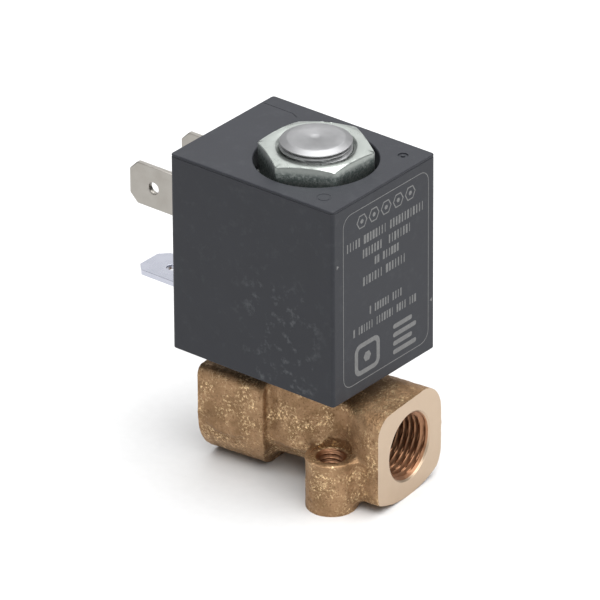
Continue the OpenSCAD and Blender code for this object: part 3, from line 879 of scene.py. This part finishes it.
def on_coil(points):
    """Points from the coil's own axes and heights to the row frame."""
    points = np.asarray(points, float)
    x = points[..., 0] * math.cos(turn) - points[..., 1] * math.sin(turn)
    y = points[..., 0] * math.sin(turn) + points[..., 1] * math.cos(turn)
    return np.stack([x, y, points[..., 2] + coil_z], -1)


def softened(name, node, finish, width, steps=2, angle=35):
    """Copy of a CAD node with its flats joined up and its edges rounded."""
    work = bmesh.new()
    work.from_mesh(frame["nodes"][node].data)
    bmesh.ops.remove_doubles(work, verts=work.verts, dist=2e-6)
    bmesh.ops.dissolve_limit(work, angle_limit=math.radians(1), verts=work.verts, edges=work.edges)
    mesh = bpy.data.meshes.new(name)
    work.to_mesh(mesh)
    work.free()
    mesh.materials.append(finish.material)
    piece = bpy.data.objects.new(name, mesh)
    scene.collection.objects.link(piece)
    rounding = piece.modifiers.new("rounded_edges", "BEVEL")
    rounding.width = width * MM
    rounding.segments = steps
    rounding.limit_method = "ANGLE"
    rounding.angle_limit = math.radians(angle)
    rounded = bpy.data.meshes.new_from_object(piece.evaluated_get(bpy.context.evaluated_depsgraph_get()))
    piece.modifiers.clear()
    piece.data = rounded
    shade_by_edges(piece, 40, turn)
    return piece


tin = Finish("tinned_tab", (0.60, 0.585, 0.55), 0.34, 1.0)
rolling = tin.grain(0.5, 3, at=tin.stretched(0.12, 1, 1, turn=turn))
smear = tin.grain(2.2, 4)
tin.shade({
    "Base Color": tin.blend(smear, (0.30, 0.28, 0.25), (0.42, 0.40, 0.37)),
    "Roughness": 0.30 + rolling * 0.18})
tin.relief(rolling + smear * 0.5, 0.008)

bright = Finish("plated_tab", (0.68, 0.70, 0.76), 0.25, 1.0)
polish = bright.grain(2.5, 3)
bright.shade({
    "Base Color": bright.blend(polish, (0.44, 0.455, 0.52), (0.56, 0.57, 0.64)),
    "Roughness": 0.2 + polish * 0.15})
bright.relief(bright.grain(0.5, 2, at=bright.stretched(0.15, 1, 1, turn=turn)), 0.004)

for node, finish, slot in (
        ("terminal_left", tin, "tinned_tab"),
        ("terminal_right", tin, "tinned_tab"),
        ("earth_terminal", bright, "plated_tab")):
    tab = softened(node + "_tab", node, finish, 0.16)
    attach(tab, "coil")
    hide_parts(node)

# ---- Screw insert ----
# Knurled brass insert in the back of the coil, tapped M3 for the screw of the plug connector.

insert_low, insert_high = box_of("screw_insert")
insert_mount = mount("connector_screw")
insert_axis = Vector(insert_mount["axis"])
insert_r, insert_core_r, insert_major_r, insert_pitch, insert_l = 2.3, 1.23, 1.5, 0.5, 3.9
knurl_count = 30


def insert_outline(angle):
    ridge = 0.12 * (1 - abs(2 * ((angle * knurl_count / (2 * math.pi)) % 1) - 1))
    heights = np.arange(0.25, insert_l - 0.1, insert_pitch / 8)
    phase = (heights / insert_pitch - angle / (2 * math.pi)) % 1
    groove = np.clip(1.4 * (1 - 2 * np.abs(phase - 0.5)) - 0.1, 0, 1)
    thread = list(zip(insert_core_r + (insert_major_r - insert_core_r) * groove, heights))
    return [(insert_major_r + 0.15, 0), (insert_r - 0.2, 0), (insert_r - 0.02, 0.2),
            (insert_r - ridge - 0.02, 0.5), (insert_r - ridge - 0.02, insert_l - 0.4),
            (insert_r - 0.2, insert_l)] + [(insert_core_r, insert_l)] + thread[::-1]


insert = revolve("screw_insert_m3", insert_outline, turned, 120, closed=True)
insert_points = np.array([v.co for v in insert.data.vertices]) / MM
insert_middle = (insert_low + insert_high) / 2
insert_mouth = insert_middle + np.array(insert_axis) * insert_l / 2
insert_points = place_along(insert_points, insert_mouth, -insert_axis)
insert.data.vertices.foreach_set("co", (insert_points * MM).astype(np.float32).ravel())
insert.data.update()
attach(insert, "coil")
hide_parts("screw_insert")

# ---- Coil moulding ----
# Glass-filled black plastic moulded round the winding, yoke and terminals: a square block with
# fine edge radii, a round recess for the nut, the tube's bore, and the seal pocket underneath.

coil_back, coil_front, coil_half = -16.3, 11.6, 11.0
upright_r = 0.5


def rounded_rectangle(low_x, high_x, half_y, radius, steps=8):
    """Points round a rectangle with rounded corners, anticlockwise from above."""
    points = []
    centres = ((high_x, half_y, 0), (low_x, half_y, 90), (low_x, -half_y, 180), (high_x, -half_y, 270))
    for x, y, start in centres:
        middle_x = x - math.copysign(radius, x)
        middle_y = y - math.copysign(radius, y)
        for k in range(steps + 1):
            a = math.radians(start + 90 * k / steps)
            points.append((middle_x + radius * math.cos(a), middle_y + radius * math.sin(a)))
    return points


def stacked(name, loops, finish, sharp_angle=32):
    """Solid through loops of points that all have the same count, from the lowest to the highest."""
    count = len(loops[0])
    points = np.concatenate([np.asarray(loop, float) for loop in loops])
    faces = [tuple(range(count))[::-1]]
    for row in range(len(loops) - 1):
        for k in range(count):
            near, far = row * count + k, row * count + (k + 1) % count
            faces.append((near, far, far + count, near + count))
    faces.append(tuple(range((len(loops) - 1) * count, len(loops) * count)))
    return add_piece(name, points, faces, finish, sharp_angle)


def coil_loop(height, inset):
    outline = rounded_rectangle(
        coil_back + inset, coil_front - inset, coil_half - inset, max(upright_r - inset, 0.18))
    return on_coil([(x, y, height) for x, y in outline])


edge_r = 0.2
line_z, line_depth = coil_h - 0.4, 0.09  # the mould's joint, a fine line just under the top edge
quarter = [math.radians(a) for a in (0, 18, 36, 54, 72, 90)]
low_edge = [(edge_r * (1 - math.cos(a)), edge_r * (1 - math.sin(a))) for a in quarter]
joint_line = [
    (line_z - 0.12, 0), (line_z - 0.04, line_depth), (line_z + 0.04, line_depth), (line_z + 0.12, 0)]
top_edge = [(coil_h - height, inset) for height, inset in low_edge[::-1]]
coil_loops = [coil_loop(height, inset) for height, inset in low_edge + joint_line + top_edge]

plastic = Finish("coil_plastic", (0.055, 0.057, 0.065), 0.5, **{"Specular IOR Level": 0.22})
moulded = plastic.grain(0.12, 2)
clouds = plastic.grain(5.0, 4)
rubs = plastic.grain(1.6, 5, roughness=0.65).clipped(0.52, 0.72)
low_side = plastic.node("ShaderNodeSeparateXYZ", {}, {0: plastic.stretched(1, 1, 1, (0, 0, 27.0), turn)})
along_side = Value(plastic, low_side.socket.node.outputs["X"]) / MM
across_side = Value(plastic, low_side.socket.node.outputs["Y"]) / MM
up_side = Value(plastic, low_side.socket.node.outputs["Z"]) / MM
left_face = across_side.clipped(-10.8, -10.95)
scuffed = left_face * along_side.clipped(-6.0, 0.0)
scuffed = scuffed * along_side.clipped(10.5, 6.0) * up_side.clipped(9.0, 2.0)
rub = rubs * (0.12 + scuffed * 0.75)
plastic_color = plastic.blend(clouds, (0.019, 0.020, 0.0245), (0.027, 0.0285, 0.034))
plastic.shade({
    "Base Color": plastic.blend(rub, plastic_color, (0.085, 0.09, 0.095)),
    "Roughness": 0.40 + clouds * 0.12 + rub * 0.2})
plastic.relief(moulded + clouds * 0.6, 0.012)

housing = stacked("coil_moulding", coil_loops, plastic)


def upright_tool(name, outline, x=0.0, y=0.0, steps=96, closed=False):
    """A turned cutter that stands on the coil at x and y, in the coil's own heights."""
    start = on_coil([(x, y, 0)])[0]
    return tool_along(name, outline, start, (0, 0, 1), steps, closed)


recess_z, recess_r, coil_bore_r, pocket_r, pocket_h = 25.9, 8.503, 5.08, 7.2, 1.6
housing_cuts = [
    upright_tool("nut_recess", [(0, recess_z), (recess_r, recess_z), (recess_r, coil_h - 0.12),
                                (recess_r + 0.12, coil_h), (recess_r + 0.12, coil_h + 1), (0, coil_h + 1)]),
    upright_tool("tube_bore", [(0, -1), (coil_bore_r, -1), (coil_bore_r, coil_h), (0, coil_h)]),
    upright_tool("seal_pocket", [(0, -1), (pocket_r + 0.1, -1), (pocket_r + 0.1, 0), (pocket_r, 0.1),
                                 (pocket_r, pocket_h), (0, pocket_h)]),
]
pin_x, pin_y, dent_x, dent_y = 7.9, -8.2, 8.6, 7.85
housing_cuts += [
    upright_tool(
        "ejector_ring",
        [(0.85, coil_h - 0.04), (1.0, coil_h - 0.04), (1.0, coil_h + 1), (0.85, coil_h + 1)],
        pin_x, pin_y, 48, closed=True),
    upright_tool(
        "gate_dent",
        [(0.3, coil_h - 0.16), (0.72, coil_h - 0.16), (0.82, coil_h + 1), (0.2, coil_h + 1)],
        dent_x, dent_y, 48, closed=True),
]
flow_line = [(-15.8, 8.36), (-10.8, 8.33), (-9.6, 7.76), (-9.57, 7.84), (-10.78, 8.41), (-15.8, 8.44)]
flow_loops = [on_coil([(x, y, z) for x, y in flow_line]) for z in (coil_h - 0.08, coil_h + 1)]
housing_cuts.append(stacked("flow_line", flow_loops, plastic))


def cutter_from(node):
    """Joined copy of a buried CAD node, to cut its seat in the moulding."""
    return softened(node + "_seat", node, plastic, 0.0)


for node in ("yoke_bracket", "bobbin", "winding", "flux_bush", "terminal_left", "terminal_right",
             "earth_terminal", "lead_wire_start", "lead_wire_finish", "screw_insert"):
    housing_cuts.append(cutter_from(node))
carve(housing, housing_cuts)
shade_by_edges(housing, 30, turn)
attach(housing, "coil")
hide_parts("coil_housing")

# ---- Laser marking ----
# The rating panel that a laser burns pale into the plastic of the front face: a thin rounded
# frame, rows of plain bars where the ratings stand, five hexagons and two plain symbols.

burnt = Finish("laser_marking", (0.17, 0.17, 0.165), 0.75)
burn = burnt.grain(0.35, 4)
burnt.shade({
    "Base Color": burnt.blend(burn, (0.085, 0.086, 0.088), (0.20, 0.20, 0.195)),
    "Roughness": 0.65 + burn * 0.2})
mark_height = 0.012  # how far a mark stands out of the plastic
mark_root = 0.03     # how far its underside is sunk


def mark_row_tree():
    """Geometry Nodes: a row of bars along Y with random widths and gaps, always the same."""
    tree, given, add = node_tree("mark_row", {
        "Bars": "Int", "Pitch": "Float", "Height": "Float", "Thickness": "Float", "Seed": "Int",
        "Finish": "Material"})
    step = add("ShaderNodeCombineXYZ", Y=given["Pitch"])
    row = add("GeometryNodeMeshLine", Count=given["Bars"], Offset=step.outputs[0])
    size = add("ShaderNodeCombineXYZ", X=given["Thickness"], Y=given["Pitch"], Z=given["Height"])
    bar = add("GeometryNodeMeshCube", Size=size.outputs[0])
    kept = add("FunctionNodeRandomValue", {"data_type": "BOOLEAN"}, Probability=0.86, Seed=given["Seed"])
    width = add("FunctionNodeRandomValue", {"data_type": "FLOAT"}, Seed=given["Seed"])
    width.inputs[2].default_value, width.inputs[3].default_value = 0.22, 0.78
    stretch = add("ShaderNodeCombineXYZ", X=1.0, Y=width.outputs[1], Z=1.0)
    placed = add("GeometryNodeInstanceOnPoints", Points=row.outputs["Mesh"], Selection=kept.outputs[3],
                 Instance=bar.outputs["Mesh"], Scale=stretch.outputs[0])
    return finish_tree(tree, placed.outputs["Instances"], given["Finish"], add)


def mark_row(tree, left, right, top, low, pitch, seed):
    """Points and faces of one row of bars on the label face, in the coil's own axes."""
    mesh = mesh_from("mark_row", tree, {
        "Bars": int((right - left) / pitch), "Pitch": pitch * MM, "Height": (top - low) * MM,
        "Thickness": (mark_height + mark_root) * MM, "Seed": seed, "Finish": burnt.material})
    points = np.array([v.co for v in mesh.vertices]) / MM
    points += (coil_front + (mark_height - mark_root) / 2, left + pitch / 2, (top + low) / 2)
    faces = [tuple(face.vertices) for face in mesh.polygons]
    bpy.data.meshes.remove(mesh)
    return points, faces


def raised_mark(outer, inner=None):
    """Points and faces of a thin plate on the label face, from its outline in Y and Z."""
    rings = [outer] if inner is None else [outer, inner]
    count = len(outer)
    points = [(coil_front + x, y, z) for ring in rings for x in (-mark_root, mark_height) for y, z in ring]
    back, front = 0, count
    faces = []
    for k in range(count):
        j = (k + 1) % count
        faces.append((back + k, back + j, front + j, front + k))
        if inner is not None:
            hole_back, hole_front = 2 * count, 3 * count
            faces.append((hole_back + j, hole_back + k, hole_front + k, hole_front + j))
            faces.append((front + k, front + j, hole_front + j, hole_front + k))
            faces.append((back + j, back + k, hole_back + k, hole_back + j))
    if inner is None:
        faces.append(tuple(front + k for k in range(count)))
        faces.append(tuple(back + k for k in range(count))[::-1])
    return np.array(points), faces


def soft_box(left, right, low, top, radius, steps=6):
    """Outline of a rounded box on the label face, anticlockwise from the front."""
    middle_y, middle_z = (left + right) / 2, (low + top) / 2
    outline = rounded_rectangle(left - middle_y, right - middle_y, (top - low) / 2, radius, steps)
    return [(y + middle_y, z + middle_z) for y, z in outline]


def hexagon(y, z, radius):
    turns = [math.pi * k / 3 for k in range(6)]
    return [(y + radius * math.cos(a), z + radius * math.sin(a)) for a in turns]


line = 0.11
frame_left, frame_right, frame_top, frame_low, frame_r = -8.85, 9.6, coil_h - 1.75, coil_h - 27.9, 1.75
marks = [raised_mark(
    soft_box(frame_left, frame_right, frame_low, frame_top, frame_r),
    soft_box(frame_left + line, frame_right - line, frame_low + line, frame_top - line, frame_r - line))]
hexagon_count, hexagon_pitch, hexagon_r = 5, 2.6, 1.15
for number in range(hexagon_count):
    y = 0.4 + (number - (hexagon_count - 1) / 2) * hexagon_pitch
    marks.append(raised_mark(hexagon(y, coil_h - 3.8, hexagon_r), hexagon(y, coil_h - 3.8, hexagon_r - 0.2)))
    marks.append(raised_mark(hexagon(y, coil_h - 3.8, 0.35)))
row_tree = mark_row_tree()
for left, right, drop, height, pitch, seed in (
        (-8.2, 9.0, 6.1, 1.3, 0.62, 1),
        (-5.4, 5.9, 8.2, 1.3, 0.62, 2),
        (-2.8, 3.5, 10.2, 1.2, 0.6, 3),
        (-4.7, 5.2, 12.4, 1.3, 0.62, 4),
        (-3.3, 4.3, 17.3, 1.2, 0.55, 5),
        (-6.8, 7.4, 19.5, 1.2, 0.55, 6)):
    marks.append(mark_row(row_tree, left, right, coil_h - drop, coil_h - drop - height, pitch, seed))
symbol_top, symbol_low = coil_h - 22.2, coil_h - 27.0
marks.append(raised_mark(
    soft_box(-6.4, -1.0, symbol_low, symbol_top, 1.2),
    soft_box(-5.7, -1.7, symbol_low + 0.7, symbol_top - 0.7, 0.6)))
marks.append(raised_mark(hexagon(-3.7, (symbol_top + symbol_low) / 2, 0.8)))
bar_count, bar_pitch, bar_height = 4, 1.3, 0.7
for number in range(bar_count):
    low = symbol_low + 0.1 + number * bar_pitch
    marks.append(raised_mark(soft_box(1.9, 6.9 - 0.9 * (number % 2), low, low + bar_height, 0.3, 3)))
for y, z, side in ((-9.95, coil_h - 8.6, 1), (10.1, coil_h - 21.9, -1)):
    back, tip = y - 0.25 * side, y + 0.25 * side
    marks.append(raised_mark([(back, z - 0.3 * side), (tip, z), (back, z + 0.3 * side)]))


def joined(parts):
    """One list of points and one of faces from several."""
    points, faces, start = [], [], 0
    for part_points, part_faces in parts:
        points.append(part_points)
        faces += [tuple(start + corner for corner in face) for face in part_faces]
        start += len(part_points)
    return np.concatenate(points), faces


mark_points, mark_faces = joined(marks)
marking = add_piece("laser_marking", on_coil(mark_points), mark_faces, burnt)
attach(marking, "coil")

# ---- Gasket, lock washer and nut ----
# A rubber ring seals the coil to the ferrule from below. Above, a spring washer and a zinc-plated
# hexagon nut, chamfered on both faces, clamp the coil to the stud.

dress(rubber, "rubber", "coil_gasket")
dress(zinc, "plated_steel", "lock_washer")

nut_low, nut_high = box_of("coil_nut")
nut_flats, nut_turn = 14.0, math.radians(21.6)
nut_finish = Finish("plated_nut", (0.66, 0.69, 0.66), 0.3, 1.0)
plating = nut_finish.grain(1.3, 4)
blotch = nut_finish.grain(0.5, 4, roughness=0.7)
nut_height = nut_finish.node("ShaderNodeSeparateXYZ", {}, {0: nut_finish.place})
below_top = nut_high[2] - Value(nut_finish, nut_height.socket.node.outputs["Z"]) / MM
# Painted reflection and shade: from a little below the top downwards, the nut's sides are darkened in
# blotches, standing for the black coil recess they sit in and mirror; the darkened blotches are also
# rougher.
painted_recess_shade = below_top.clipped(0.3, 1.5) * blotch.clipped(0.25, 0.6)
nut_color = nut_finish.blend(plating, (0.45, 0.485, 0.455), (0.55, 0.58, 0.55))
nut_finish.shade({
    "Base Color": nut_finish.blend(painted_recess_shade * 0.9, nut_color, (0.09, 0.115, 0.11)),
    "Roughness": 0.22 + plating * 0.14 + painted_recess_shade * 0.2})
nut_finish.relief(blotch, 0.01)


def nut_thread(angle, high, low):
    heights = np.arange(high - 0.02, low + 0.02, -stud_pitch / 10)
    phase = (heights / stud_pitch - angle / (2 * math.pi)) % 1
    ridge = np.clip(1.6 * (1 - 2 * np.abs(phase - 0.5)) - 0.1, 0, 1)
    return list(zip(stud_core_r + 0.06 + (stud_r - stud_core_r) * ridge, heights))


nut = revolve(
    "coil_clamp_nut",
    chamfered_hexagon(nut_flats, nut_turn, nut_low[2], nut_high[2], 5.06, 0.45, thread=nut_thread),
    nut_finish, 240, closed=True, sharp_angle=40)
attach(nut, "valve")
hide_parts("coil_nut")
